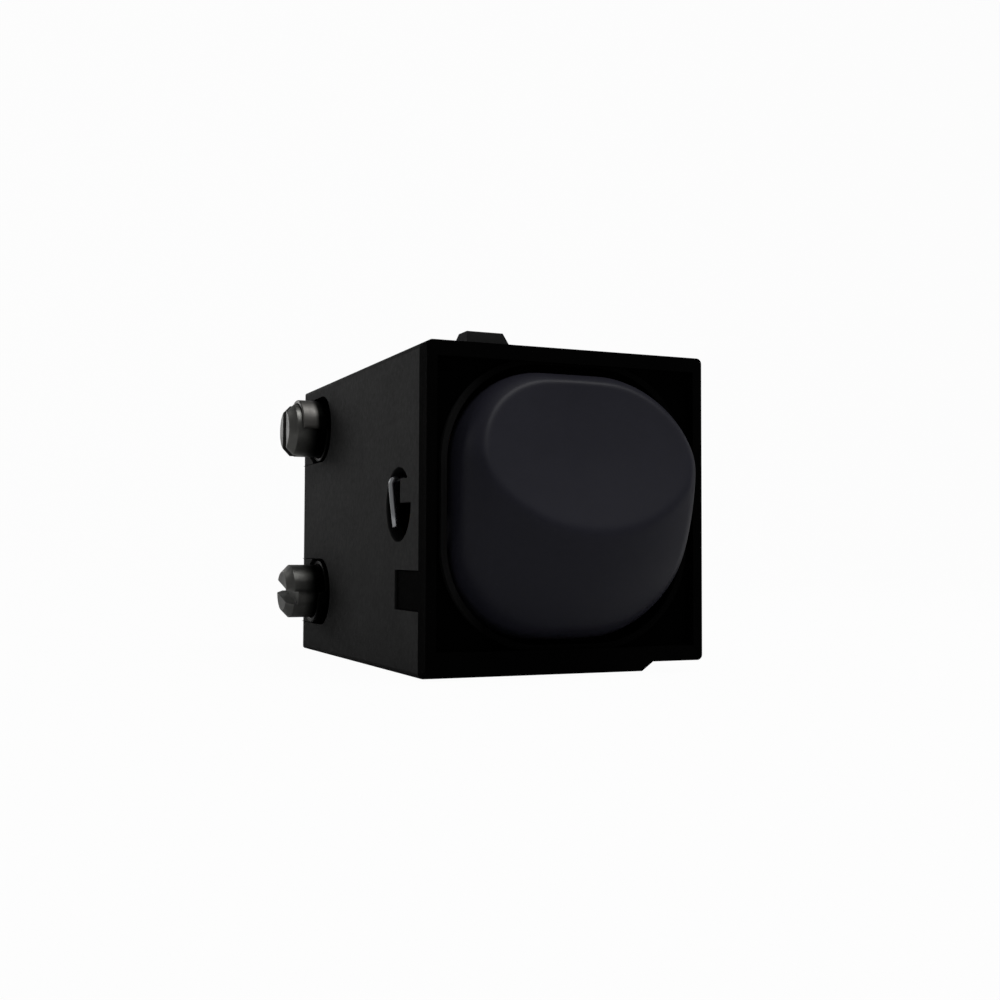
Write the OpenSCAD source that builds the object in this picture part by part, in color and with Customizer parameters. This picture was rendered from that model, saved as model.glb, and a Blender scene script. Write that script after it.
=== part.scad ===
// Pushbutton switch for a wall plate: a rocking button in a square frame,
// returned by a spring, with a changeover contact and four screw terminals.
// Millimetres. The front faces -Y, +X is right and +Z is up.
// The origin is the centre of the front rim's plane.

/* [Case] */
// Thickness of the case walls
wall = 1; // [0.9:0.05:1.1]
// How far the keying pad stands below the case
pad_drop = 0.8; // [0.4:0.1:2]
// Right end of the keying pad, from the centre
pad_end = 5.7; // [2:0.1:8]
// Slope of the ends of the pad and of the snap lug
end_slope = 0.9; // [0.3:0.1:1.5]
// Rounding of the case's long edges
long_round = 0.4; // [0.2:0.05:0.5]
// Rounding of the upright rear edges
rear_round = 0.8; // [0.3:0.1:1]
// Height of the snap lug on top
lug_h = 1; // [0.5:0.1:1.5]
// Width of the snap lug at its crest
lug_w = 2.7; // [2:0.1:5]
// Left end of the snap lug, from the centre
lug_x = 7.25; // [6:0.05:9]
// Length of the snap lug from front to back
lug_d = 3; // [2:0.1:5]

/* [Front frame] */
// Thickness of the front frame at its edge
frame_t = 1.5; // [1.2:0.1:2]
// Width of the frame beside the opening
side_bar = 1.6; // [1.5:0.05:2.5]
// Height of the frame above and below the opening
top_bar = 1.28; // [1.2:0.01:2.5]
// Width of the rim at the sides
rim_side = 0.75; // [0.5:0.05:0.85]
// Width of the rim at the top and bottom
rim_top = 1.05; // [0.7:0.05:1.1]
// Depth of the sunk tray behind the rim
tray_depth = 0.8; // [0.5:0.1:0.9]
// Thickness of the lip round the opening
lip_t = 0.45; // [0.2:0.05:0.5]
// How far the lip stays behind the rim
lip_back = 0.3; // [0.1:0.05:0.4]
// Height of a snap tongue
tongue_h = 2.7; // [2:0.1:3]
// Length of a snap tongue behind the frame
tongue_l = 4.8; // [3:0.1:5]
// Height of a snap tongue's middle, below the centre
tongue_drop = 5.9; // [5.5:0.1:6.5]
// Half the height of a bearing arm
arm_r = 0.95; // [0.9:0.05:1.3]
// Thickness of a bearing arm
arm_t = 0.7; // [0.5:0.05:0.75]

/* [Button] */
// Width of the button
button_w = 17.6; // [16:0.1:20]
// Height of the button
button_h = 18.76; // [17:0.02:21]
// Corner radius of the button in front view
button_corner = 6.6; // [5:0.1:7.5]
// Rounding of the button's edges
button_edge = 1.6; // [0.5:0.05:1.7]
// Half width of the upper front's long curve
upper_across = 36; // [30:1:80]
// Half height of the upper front's long curve
upper_high = 22.4; // [20:0.1:26]
// Depth of the upper front's long curve
upper_deep = 14; // [10:0.1:15]
// Depth of the upper curve's middle behind the pivot
upper_back = 4.2; // [1:0.1:5]
// Depth of the upper curve's middle below the pivot
upper_below = 6.9; // [6:0.1:9]
// Radius of the ball that rounds the lower front
lower_r = 17.45; // [16:0.05:22]
// Depth of the lower ball's middle behind the pivot
lower_back = 7.4; // [6:0.1:12]
// Height of the lower ball's middle above the pivot
lower_above = 2.95; // [2:0.05:4]
// Radius of the thumb scoop
scoop_r = 60; // [45:1:80]
// Distance of the scoop's floor from the pivot
scoop_floor = 7.98; // [7.5:0.02:8.3]
// Angle of the scoop's middle above the level
scoop_mid = 21.6; // [19:0.1:24]
// Wall thickness of the button
skin = 1.4; // [1.2:0.05:1.5]
// Distance of the side walls' rear edge ahead of the pivot
wall_back = 3.1; // [2.8:0.05:3.4]
// Rest tilt of the button, which is half its travel
rest_tilt = 3.5; // [3:0.25:4]
// Gap beside the button
side_gap = 0.3; // [0.2:0.05:0.4]
// Gap above and below the button, for its swing
swing_gap = 0.34; // [0.3:0.01:0.5]

/* [Pivot] */
// Depth of the pivot behind the rim
pivot_y = 4.6; // [4.4:0.05:5]
// Height of the pivot above the centre
pivot_z = 0.1; // [0:0.05:0.2]
// Radius of the steel pivot pin
pin_r = 0.6; // [0.5:0.05:0.7]
// Radius of the round hole in each side wall
side_hole_r = 2.65; // [2.5:0.05:2.8]
// Distance of the round hole's middle behind the pivot
hole_back = 1.15; // [1:0.05:1.4]
// Radius of an ear's round end
ear_r = 1.7; // [1.4:0.05:1.8]
// Radius of the return spring's wire
spring_wire_r = 0.22; // [0.15:0.01:0.24]
// Turns of the return spring
spring_turns = 4; // [3:1:5]
// Height of the stop in the side hole
stop_h = 1.8; // [1.2:0.1:2]
// Length of the return spring's leg under the button
spring_leg = 4.6; // [4:0.1:5]
// Thickness of the stem behind the pin, ahead of its bore
pin_cover = 1; // [0.8:0.05:1.2]

/* [Plunger] */
// Outer radius of the button's stem
stem_r = 2.6; // [2.4:0.05:3]
// Length of the stem behind the pivot
stem_l = 9.1; // [8:0.1:9.6]
// Radius of the plunger
plunger_r = 1.6; // [1.4:0.05:1.7]
// Reach of the plunger's tip behind the pivot
plunger_reach = 13.35; // [13:0.05:13.6]
// Wall thickness of the plunger round its spring
plunger_wall = 0.45; // [0.35:0.05:0.5]
// Solid length of the plunger behind its round tip
plunger_solid = 1.8; // [1.4:0.1:2.2]
// Length of the plunger round its spring
plunger_sleeve = 4; // [3.4:0.1:4.4]
// Radius of the plunger spring's wire
coil_wire_r = 0.17; // [0.1:0.01:0.2]
// Turns of the plunger spring
coil_turns = 7; // [5:1:8]

/* [Contacts] */
// Gap between the plunger's tip and the rocker in mid travel
tip_gap = 0.3; // [0.2:0.05:0.4]
// Thickness of the contact strip
strip_t = 0.5; // [0.4:0.05:0.6]
// Radius of the rib that the rocker turns on
rib_r = 0.4; // [0.35:0.05:0.5]
// Width of the rocker
rocker_w = 4.4; // [3.6:0.1:5]
// Half the length of the rocker
rocker_half = 6.2; // [6.1:0.1:6.5]
// Distance of the contact tips from the rocker's pivot
tip_arm = 5; // [4.8:0.1:5.1]
// Radius of a contact tip
tip_r = 1; // [0.8:0.05:1.05]
// Thickness of a moving contact tip
tip_t = 0.6; // [0.4:0.05:0.7]
// Rest tilt of the rocker
rocker_tilt = 6; // [4:0.5:6]
// Gap between closed contact tips
closed_gap = 0.06; // [0.03:0.01:0.1]
// Distance from the rocker's pivot to the fixed contact strips
strip_back = 1.4; // [1.3:0.05:1.6]
// Thickness of the contact base
base_t = 1.6; // [1.2:0.1:2]

/* [Terminals] */
// Gap between the contact base and the terminal barrels
terminal_gap = 2.65; // [2.4:0.05:4]
// Distance of the terminals' axes ahead of the rear face
terminal_in = 4.1; // [4:0.05:4.6]
// Distance of the upper terminals' axes below the top face
upper_in = 3.8; // [3.75:0.05:4]
// Distance of the lower terminals' axes above the lower face
lower_in = 4.4; // [4:0.05:4.6]
// Outer radius of a terminal barrel
barrel_r = 2.65; // [2.5:0.05:2.7]
// Length of a barrel
barrel_l = 7.2; // [6.8:0.1:7.6]
// How far a barrel's end stays inside the side wall
barrel_back = 0.3; // [0.1:0.05:0.5]
// How far an upper barrel's half collar stands out of the side wall
collar_out = 1.7; // [1:0.1:2]
// How far a lower barrel's half collar stands out of the side wall
low_collar_out = 0.3; // [0.2:0.05:1]
// How far the pockets in the side walls run ahead of the terminals' axes
pocket_ahead = 2.2; // [1.5:0.1:2.3]
// Thickness of the inner walls behind the pockets
pocket_wall = 0.8; // [0.6:0.05:1]
// Radius of a terminal screw
screw_r = 2.25; // [2:0.05:2.3]
// Bevel on a terminal screw's outer end
screw_bevel = 0.6; // [0.3:0.1:0.8]
// Length of a terminal screw
screw_l = 4.8; // [4:0.1:5]
// Width of a screw's driving slot
slot_w = 1.1; // [0.6:0.05:1.2]
// Depth of a screw's driving slot
slot_d = 0.9; // [0.5:0.05:1.3]
// Distance of the wire entries inside the side walls
entry_in = 4.1; // [3.9:0.05:4.3]
// Radius of a wire entry in the rear cover
entry_r = 1.6; // [1.4:0.05:1.7]
// Radius of the wire hole in a barrel
wire_r = 1.9; // [1.8:0.05:2]
// Thickness of the rear cover
cover_t = 1.4; // [1.2:0.05:1.45]

/* [Clearances] */
// Radial clearance of a running fit
run = 0.05; // [0.03:0.01:0.08]
// Clearance between fixed pieces
fit = 0.05; // [0.03:0.01:0.08]
// Clearance of the side slots round the barrels
slot_fit = 0.15; // [0.1:0.01:0.2]

/* [Hidden] */
$fn = 64;

// The case follows the opening, and the opening follows the button
open_w = button_w + 2 * side_gap;
open_h = button_h + 2 * swing_gap;
open_corner = button_corner + side_gap;
face_w = open_w + 2 * side_bar;
face_h = open_h + 2 * top_bar;
half_w = face_w / 2;
half_h = face_h / 2;
inner_w = half_w - wall;
inner_h = half_h - wall;
// A cut runs this far past the face that it opens
past = 1;
// Pieces fused to one another reach this far into each other
sink = 0.4;
// The frame's pad stays a little above the case's pad
frame_pad = pad_drop - 0.15;

// The frame's bearing arms and snap tongues
arm_in = open_w / 2;
arm_out = arm_in + arm_t;
tongue_out = half_w - 0.15;
tongue_in = tongue_out - 0.8;

// The button's parts, from its pivot
scoop_from_pivot = scoop_floor + scoop_r;
cavity_front = scoop_floor + skin + 0.6;
ear_in = button_w / 2 - skin + 0.1;
ear_out = button_w / 2 - 0.1;
bore_from = pin_r + pin_cover;
coil_inside = plunger_r - plunger_wall;
recess_end = plunger_reach - plunger_r - plunger_solid;
plunger_back = recess_end - plunger_sleeve;

// The contacts, from front to back
tip_y = pivot_y + plunger_reach;
trough_r = rib_r + run;
rocker_y = tip_y + tip_gap + trough_r + strip_t;
strip_y = rocker_y + strip_back;
plate_t = 0.6;
base_y = strip_y + plate_t;
cheek_in = rocker_w / 2 + 0.3;
cheek_out = cheek_in + plate_t;

// The terminals
upper_z = half_h - upper_in;
lower_z = half_h - lower_in;
entry_x = half_w - entry_in;
base_back = base_y + base_t;
term_y = base_back + terminal_gap + barrel_r;
case_depth = term_y + terminal_in;
seat_y = term_y + 0.6;
cover_y = case_depth - cover_t;
barrel_bore = screw_r + run;
saddle_r = barrel_r + fit;
slot_r = barrel_r + slot_fit;
barrel_end = half_w - barrel_back;
barrel_start = barrel_end - barrel_l;
tab_out = entry_x + 1.5;
tab_in = entry_x - 1.5;
tab_end = seat_y - fit;
// How far each screw stands out of its side wall, and its slot's angle
proud_tl = 2.7;
proud_bl = 2.8;
proud_tr = 1.9;
proud_br = 2.2;
turn_tl = 0;
turn_bl = 104;
turn_tr = 35;
turn_br = 70;

// Extrudes a front view, x and z, from y0 to y1
module along_y(y0, y1) {
    translate([0, y1, 0]) rotate([90, 0, 0]) linear_extrude(y1 - y0) children();
}

// Extrudes a side view, y and z, from x0 to x1
module along_x(x0, x1) {
    translate([x0, 0, 0]) rotate([90, 0, 90]) linear_extrude(x1 - x0) children();
}

// A round bar along X from x0 to x1
module bar_x(x0, x1, r) {
    translate([x0, 0, 0]) rotate([0, 90, 0]) cylinder(h = x1 - x0, r = r);
}

// A round bar along Y from y0 to y1
module bar_y(y0, y1, r) {
    translate([0, y1, 0]) rotate([90, 0, 0]) cylinder(h = y1 - y0, r = r);
}

// A box between two corners
module block(low, high) {
    translate(low) cube(high - low);
}

// A rectangle round the centre with round corners
module round_rect(w, h, r) {
    square([w - 2 * r, h], center = true);
    square([w, h - 2 * r], center = true);
    for (x = [-1, 1], z = [-1, 1])
        translate([x * (w / 2 - r), z * (h / 2 - r)]) circle(r);
}

// Puts the children on the left and, mirrored, on the right
module both_sides() {
    children();
    mirror([1, 0, 0]) children();
}

// Front view of the case with a pad below its left part
module face_outline(drop) {
    foot = -half_h - drop;
    round_rect(face_w, face_h, long_round);
    polygon([[-half_w, 0], [-half_w, foot + long_round], [-half_w + long_round, foot],
        [pad_end, foot], [pad_end + end_slope, -half_h], [pad_end + end_slope, 0]]);
    translate([-half_w + long_round, foot + long_round]) circle(long_round);
}

// Plan view of the case behind the frame, with its rear edges rounded
module case_plan() {
    translate([-half_w, frame_t]) square([face_w, case_depth - frame_t - rear_round]);
    translate([-half_w + rear_round, frame_t])
        square([face_w - 2 * rear_round, case_depth - frame_t]);
    for (x = [-1, 1])
        translate([x * (half_w - rear_round), case_depth - rear_round]) circle(rear_round);
}

// Snap lug with a sloped right end and a ramp at the back
module snap_lug() {
    crest = half_h + lug_h;
    intersection() {
        along_y(frame_t, frame_t + lug_d)
            polygon([[-lug_x, half_h - sink], [-lug_x, crest],
                [-lug_x + lug_w, crest], [-lug_x + lug_w + end_slope, half_h - sink]]);
        along_x(-half_w, half_w)
            polygon([[frame_t, half_h - sink], [frame_t, crest],
                [frame_t + lug_d / 2, crest], [frame_t + lug_d, half_h],
                [frame_t + lug_d, half_h - sink]]);
    }
}

// Slot from x0 outwards, its round front end centred at y0, open to the rear
module rear_slot(x0, y0, z) {
    translate([0, y0, z]) bar_x(x0, half_w + past, slot_r);
    block([x0, y0, z - slot_r], [half_w + past, case_depth + past, z + slot_r]);
}

// Slot that a barrel and the rear cover's tab slide into, with a pocket ahead of it
module terminal_slot(z) {
    rear_slot(inner_w - past, term_y - slot_fit, z);
    rear_slot(inner_w + 0.1, term_y - pocket_ahead, z);
}

// Case: an open box with slots, holes and a keying pad
module housing() {
    color("#2b2b2b") difference() {
        union() {
            intersection() {
                along_y(frame_t, case_depth) face_outline(pad_drop);
                translate([0, 0, -face_h]) linear_extrude(2 * face_h) case_plan();
            }
            snap_lug();
        }
        difference() {
            block([-inner_w, frame_t - past, -inner_h], [inner_w, case_depth + past, inner_h]);
            // Ledges that the contact base seats on
            for (x = [-4, 4], z = [-1, 1])
                translate([x, base_back + 0.6, z * inner_h]) cube([4, 1.2, 1.6], center = true);
            // Inner walls that close the pockets ahead of the terminals
            both_sides() for (z = [upper_z, -lower_z])
                block([inner_w - pocket_wall, base_back + fit, z - slot_r - sink],
                    [half_w, term_y - slot_fit, z + slot_r + sink]);
        }
        both_sides() {
            // Round hole over the pivot, with a stop that stands in its front half
            translate([0, pivot_y + hole_back, pivot_z]) difference() {
                bar_x(inner_w - past, half_w + past, side_hole_r);
                block([inner_w - 2 * past, -side_hole_r - past, 0.1], [half_w + 2 * past, -0.4, stop_h]);
            }
            // Channel inside the wall for the frame's bearing arm
            block([inner_w - past, frame_t - past, pivot_z - arm_r - fit],
                [arm_out + fit, pivot_y + arm_r + 1, pivot_z + arm_r + fit]);
            // Window for the frame's snap tongue
            block([inner_w - past, frame_t - past, -tongue_drop - tongue_h / 2 - fit],
                [half_w + past, frame_t + tongue_l + 2 * fit, -tongue_drop + tongue_h / 2 + fit]);
            terminal_slot(upper_z);
            terminal_slot(-lower_z);
        }
    }
}

// Front frame: rim, sunk tray, lip, bearing arms and snap tongues
module front_frame() {
    tray_w = face_w - 2 * rim_side;
    tray_h = face_h - 2 * rim_top;
    color("#101010") difference() {
        union() {
            difference() {
                along_y(0, frame_t) face_outline(frame_pad);
                along_y(-past, tray_depth) square([tray_w, tray_h], center = true);
            }
            intersection() {
                along_y(lip_back, frame_t) translate([0, pivot_z])
                    round_rect(open_w + 2 * lip_t, open_h + 2 * lip_t, open_corner + lip_t);
                along_y(0, frame_t) square([tray_w + sink, tray_h + sink], center = true);
            }
            both_sides() {
                along_x(arm_in, arm_out) translate([0, pivot_z]) {
                    translate([frame_t - sink, -arm_r]) square([pivot_y - frame_t + sink, 2 * arm_r]);
                    translate([pivot_y, 0]) circle(arm_r);
                }
                block([tongue_in, frame_t - sink, -tongue_drop - tongue_h / 2],
                    [tongue_out, frame_t + tongue_l, -tongue_drop + tongue_h / 2]);
            }
        }
        along_y(-past, frame_t + past / 2) translate([0, pivot_z])
            round_rect(open_w, open_h, open_corner);
        translate([0, pivot_y, pivot_z]) bar_x(-half_w, half_w, pin_r + run);
    }
}

// One side of the cover's seat for a barrel, with the tab that fills the wall slot
module barrel_seat(z) {
    r = slot_r - fit;
    block([barrel_start + 1, seat_y, z - r], [half_w, case_depth, z + r]);
}

// Rear cover with barrel seats, wire entries and partitions
module rear_cover() {
    color("#2b2b2b") difference() {
        union() {
            intersection() {
                union() {
                    block([-inner_w + fit, cover_y, -inner_h + fit],
                        [inner_w - fit, case_depth, inner_h - fit]);
                    both_sides() {
                        barrel_seat(upper_z);
                        barrel_seat(-lower_z);
                    }
                }
                translate([0, 0, -face_h]) linear_extrude(2 * face_h) case_plan();
            }
            // Partitions between the terminals, which hold the contact base
            block([-0.5, base_back + fit, -inner_h + 0.3], [0.5, cover_y + sink, inner_h - 0.3]);
            block([-inner_w + 0.3, base_back + fit, -0.2], [inner_w - 0.3, cover_y + sink, 0.8]);
        }
        both_sides() for (z = [upper_z, -lower_z]) {
            translate([0, term_y, z]) bar_x(barrel_start - 2, half_w + past, saddle_r);
            translate([entry_x, 0, z]) {
                bar_y(term_y, case_depth + past, entry_r);
                // Countersink that leads the wire in
                translate([0, case_depth + 0.01, 0]) rotate([90, 0, 0])
                    cylinder(h = 0.3, r1 = entry_r + 0.3, r2 = entry_r);
            }
        }
    }
}

// Contact base: the inner wall that carries the fixed contacts
module contact_base() {
    color("#3a3632") difference() {
        block([-inner_w + 0.2, base_y, -inner_h + 0.2], [inner_w - 0.2, base_back, inner_h - 0.2]);
        tab_slot(-1, upper_tab_z());
        tab_slot(-1, lower_tab_z());
        tab_slot(1, lower_tab_z());
    }
}

// Lower face of the tab that carries an upper barrel, and of one on a lower barrel
function upper_tab_z() = upper_z - barrel_r - plate_t;
function lower_tab_z() = -lower_z + barrel_r;

module tab_slot(side, z) {
    low = min(side * tab_in, side * tab_out);
    high = max(side * tab_in, side * tab_out);
    block([low - fit, base_y - past, z - fit], [high + fit, base_back + past, z + plate_t + fit]);
}

// Places children in the button's own frame at its rest tilt
module on_button() {
    translate([0, pivot_y, pivot_z]) rotate([rest_tilt, 0, 0]) children();
}

// The button's front curves, set in by an amount
module front_curves(inset) {
    intersection() {
        translate([0, upper_back, -upper_below])
            scale([upper_across - inset, upper_deep - inset, upper_high - inset]) sphere(1, $fn = 120);
        translate([0, lower_back, lower_above]) sphere(lower_r - inset, $fn = 120);
    }
}

// The button's convex blank: its front curves in a rounded column, edges rounded
module button_blank() {
    minkowski() {
        intersection() {
            along_y(-2 * scoop_floor, 0)
                round_rect(button_w - 2 * button_edge, button_h - 2 * button_edge,
                    button_corner - button_edge, $fn = 48);
            front_curves(button_edge);
        }
        sphere(button_edge, $fn = 16);
    }
}

// A sphere concentric with the thumb scoop
module scoop_ball(r) {
    translate([0, -scoop_from_pivot * cos(scoop_mid), scoop_from_pivot * sin(scoop_mid)])
        sphere(r, $fn = 240);
}

// Button: scooped cap, ears for the pin and the stem for the plunger
module button() {
    color("#26282c") on_button() difference() {
        union() {
            difference() {
                intersection() {
                    button_blank();
                    block([-button_w, -2 * scoop_floor, -button_h], [button_w, -wall_back, button_h]);
                }
                scoop_ball(scoop_r);
                difference() {
                    intersection() {
                        along_y(-cavity_front, past - wall_back)
                            round_rect(button_w - 2 * skin, button_h - 2 * skin, button_corner - skin);
                        front_curves(skin);
                    }
                    scoop_ball(scoop_r + skin);
                }
            }
            both_sides() along_x(ear_in, ear_out) {
                circle(ear_r);
                polygon([[0, ear_r], [0, -ear_r], [-wall_back - 0.6, -2 * ear_r],
                    [-wall_back - 0.6, 2 * ear_r]]);
            }
            // Stem, fused to the middle of the scoop's wall
            difference() {
                bar_y(-scoop_floor - skin, stem_l, stem_r);
                scoop_ball(scoop_r + skin / 2);
            }
        }
        bar_x(-button_w, button_w, pin_r);
        bar_y(bore_from, stem_l + past, plunger_r + run);
    }
}

// Steel pin that the button rocks on
module pivot_pin() {
    color("#b9bcc0") translate([0, pivot_y, pivot_z]) bar_x(-arm_out, arm_out, pin_r);
}

// Unit vector, and the sum of a list of tube frames swept along a path
function unit(v) = v / norm(v);
function tangent(p, i) = unit(p[min(i + 1, len(p) - 1)] - p[max(i - 1, 0)]);
function carry(n, t) = unit(n - (n * t) * t);
function normals(p, i, n) = i >= len(p) ? [] :
    let (m = carry(n, tangent(p, i))) concat([m], normals(p, i + 1, m));

// A round wire swept along a path with its frame carried from point to point
module wire(path, r, sides = 6) {
    count = len(path);
    side_normals = normals(path, 0, [0.31, 0.52, 0.79]);
    points = [for (i = [0:count - 1]) let (n = side_normals[i], b = cross(tangent(path, i), n))
        for (k = [0:sides - 1]) path[i] + r * (cos(360 * k / sides) * n + sin(360 * k / sides) * b)];
    walls = [for (i = [0:count - 2], k = [0:sides - 1]) let (next = (k + 1) % sides)
        [i * sides + k, (i + 1) * sides + k, (i + 1) * sides + next, i * sides + next]];
    first = [for (k = [0:sides - 1]) k];
    last = [for (k = [sides - 1:-1:0]) (count - 1) * sides + k];
    polyhedron(points, concat([first, last], walls), convexity = 8);
}

// Points of a coil round the X axis, from angle a0, where 0 points to +Y
function coil_x(x0, pitch, turns, r, a0, steps = 14) =
    [for (i = [0:turns * steps]) let (a = a0 + 360 * i / steps)
        [x0 + pitch * i / steps, r * cos(a), r * sin(a)]];

// Torsion spring on the pin: one leg shows in the left side hole
module return_spring() {
    coil_r = pin_r + spring_wire_r + 0.35;
    pitch = 2 * spring_wire_r + 0.1;
    start = -ear_in + spring_wire_r + 0.3;
    hook_x = -half_w - 0.05;
    hook_y = hole_back + side_hole_r - spring_wire_r - 1.05;
    hook_z = side_hole_r - spring_wire_r - 0.55;
    static_leg = [[hook_x, hook_y - 1, -hook_z + 0.3], [hook_x, hook_y - 0.45, 0],
        [hook_x, hook_y, hook_z - 0.3], [hook_x + 0.12, hook_y, hook_z - 0.08], [hook_x + 0.35, hook_y, hook_z],
        [start - 0.5, hook_y, hook_z], [start - 0.1, hook_y - 0.1, hook_z - 0.2],
        [start, hook_y - 0.5, hook_z - 0.6]];
    coil = coil_x(start, pitch, spring_turns, coil_r, 45);
    end = coil[len(coil) - 1];
    moving_leg = [[end[0] + 0.05, coil_r * 0.2, coil_r * 1.05], [end[0] + 0.05, -spring_leg, coil_r * 1.2]];
    color("#c4c6c8") translate([0, pivot_y, pivot_z]) wire(concat(static_leg, coil, moving_leg), spring_wire_r);
}

// Plunger that slides in the stem and rides on the rocker
module plunger() {
    color("#d8d4c8") on_button() difference() {
        union() {
            bar_y(plunger_back, plunger_reach - plunger_r, plunger_r);
            translate([0, plunger_reach - plunger_r, 0]) sphere(plunger_r);
        }
        bar_y(plunger_back - past, recess_end, coil_inside);
    }
}

// Compression spring between the stem and the plunger
module plunger_spring() {
    length = recess_end - bore_from - 2 * coil_wire_r - 0.1;
    coil_r = coil_inside - coil_wire_r - 0.1;
    color("#c4c6c8") on_button() translate([0, bore_from + coil_wire_r + 0.05, 0]) rotate([0, 0, 90])
        wire(coil_x(0, length / coil_turns, coil_turns, coil_r, 0), coil_wire_r);
}

// Places children in the rocker's own frame, tilted by an angle
module on_rocker(tilt) {
    translate([0, rocker_y, pivot_z]) rotate([tilt, 0, 0]) children();
}

// Rocker strip with a trough that turns on the bracket's rib
module rocker_contact() {
    front = -trough_r - strip_t;
    color("#c08a4a") on_rocker(-rocker_tilt) difference() {
        union() {
            block([-rocker_w / 2, front, -rocker_half], [rocker_w / 2, -trough_r, rocker_half]);
            intersection() {
                bar_x(-rocker_w / 2, rocker_w / 2, trough_r + strip_t);
                block([-rocker_w, front - past, -rocker_half], [rocker_w, 0, rocker_half]);
            }
        }
        bar_x(-rocker_w, rocker_w, trough_r);
    }
}

// Silver tip on one end of the rocker
module moving_tip(side) {
    color("#d9dadb") on_rocker(-rocker_tilt)
        translate([0, 0, side * tip_arm]) bar_y(-trough_r, -trough_r + tip_t, tip_r);
}

module upper_moving_tip() {
    moving_tip(1);
}

module lower_moving_tip() {
    moving_tip(-1);
}

// Silver tip on a fixed contact, square to the rocker's tip that meets it
module fixed_tip(side) {
    face = -trough_r + tip_t + closed_gap;
    color("#d9dadb") intersection() {
        on_rocker(-side * rocker_tilt) translate([0, 0, side * tip_arm]) bar_y(face, face + 4, tip_r);
        block([-half_w, rocker_y - 2, -half_h], [half_w, strip_y, half_h]);
    }
}

module upper_tip() {
    fixed_tip(1);
}

module lower_tip() {
    fixed_tip(-1);
}

// Tab that runs from a strip through the base to a barrel
module barrel_tab(side, z) {
    low = min(side * tab_in, side * tab_out);
    high = max(side * tab_in, side * tab_out);
    block([low, strip_y, z], [high, tab_end, z + plate_t]);
}

// Fixed contact strip under a tip, with its tab on one side
module contact_strip(side, z, tab_side, tab_z) {
    seat = tip_r + 0.6;
    block([-seat, strip_y, z - seat], [seat, base_y, z + seat]);
    block([min(0, tab_side * tab_out), strip_y, min(tab_z, z - 0.5)],
        [max(0, tab_side * tab_out), base_y, max(tab_z + plate_t, z + 0.5)]);
    barrel_tab(tab_side, tab_z);
}

module upper_contact() {
    color("#c08a4a") contact_strip(1, pivot_z + tip_arm, -1, upper_tab_z());
}

module lower_contact() {
    color("#c08a4a") contact_strip(-1, pivot_z - tip_arm, 1, lower_tab_z());
}

// Bracket that the rocker turns on, with the common terminal's tab
module common_bracket() {
    foot = 1.6;
    color("#c08a4a") {
        translate([0, rocker_y, pivot_z]) bar_x(-cheek_in - 0.1, cheek_in + 0.1, rib_r);
        both_sides() along_x(cheek_in, cheek_out) translate([0, pivot_z]) {
            translate([rocker_y, 0]) circle(rib_r + 0.5);
            translate([rocker_y, -foot / 2]) square([base_y - rocker_y, foot]);
        }
        block([-cheek_out, strip_y, pivot_z - foot], [cheek_out, base_y, pivot_z + foot]);
        block([-tab_out, strip_y, pivot_z - foot], [0, base_y, pivot_z - 0.2]);
        block([-tab_out, strip_y, lower_tab_z()], [-tab_in, base_y, pivot_z - 0.2]);
        barrel_tab(-1, lower_tab_z());
    }
}

// Terminal barrel with its screw bore, its wire hole and a half collar
// outside the wall, on the side of the case's top or bottom
module barrel(z) {
    outer = z > 0 ? 0 : 180;
    collar_end = half_w + (z > 0 ? collar_out : low_collar_out);
    color("#9a9a98") translate([0, term_y, z]) difference() {
        union() {
            bar_x(barrel_start, barrel_end, barrel_r);
            intersection() {
                bar_x(barrel_end - sink, collar_end, barrel_r);
                rotate([outer, 0, 0]) block([0, -2 * barrel_r, 0], [2 * half_w, 2 * barrel_r, 2 * barrel_r]);
            }
        }
        bar_x(barrel_start + 0.8, collar_end + past, barrel_bore);
        translate([entry_x, 0, 0]) bar_y(0, 2 * barrel_r, wire_r);
    }
}

module barrel_top_left() {
    mirror([1, 0, 0]) barrel(upper_z);
}

module barrel_top_right() {
    barrel(upper_z);
}

module barrel_bottom_left() {
    mirror([1, 0, 0]) barrel(-lower_z);
}

module barrel_bottom_right() {
    barrel(-lower_z);
}

// Headless slotted screw, its end at a given distance from the side wall
module terminal_screw(z, proud, turn) {
    end = half_w + proud;
    color("#8f8f8c") translate([0, term_y, z]) difference() {
        union() {
            bar_x(end - screw_l, end - screw_bevel, screw_r);
            translate([end - screw_bevel, 0, 0]) rotate([0, 90, 0])
                cylinder(h = screw_bevel, r1 = screw_r, r2 = screw_r - screw_bevel);
        }
        rotate([turn, 0, 0]) block([end - slot_d, -slot_w / 2, -2 * screw_r], [end + past, slot_w / 2, 2 * screw_r]);
    }
}

module screw_top_left() {
    mirror([1, 0, 0]) terminal_screw(upper_z, proud_tl, turn_tl);
}

module screw_top_right() {
    terminal_screw(upper_z, proud_tr, turn_tr);
}

module screw_bottom_left() {
    mirror([1, 0, 0]) terminal_screw(-lower_z, proud_bl, turn_bl);
}

module screw_bottom_right() {
    terminal_screw(-lower_z, proud_br, turn_br);
}

housing();
front_frame();
rear_cover();
contact_base();
button();
pivot_pin();
return_spring();
plunger();
plunger_spring();
rocker_contact();
upper_moving_tip();
lower_moving_tip();
common_bracket();
upper_contact();
lower_contact();
upper_tip();
lower_tip();
barrel_top_left();
barrel_top_right();
barrel_bottom_left();
barrel_bottom_right();
screw_top_left();
screw_top_right();
screw_bottom_left();
screw_bottom_right();
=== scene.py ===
# %% [markdown]
# # A wall plate pushbutton module
#
# This lesson dresses a CAD model of a small black pushbutton module, the kind that
# clips into a wall plate. The CAD gives every piece its place and its size. Blender
# gives the pieces the surfaces of real mouldings, springs and plated metal, and makes
# again the few pieces whose curves deserve finer meshes.

# %% Load the frame
import math

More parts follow.
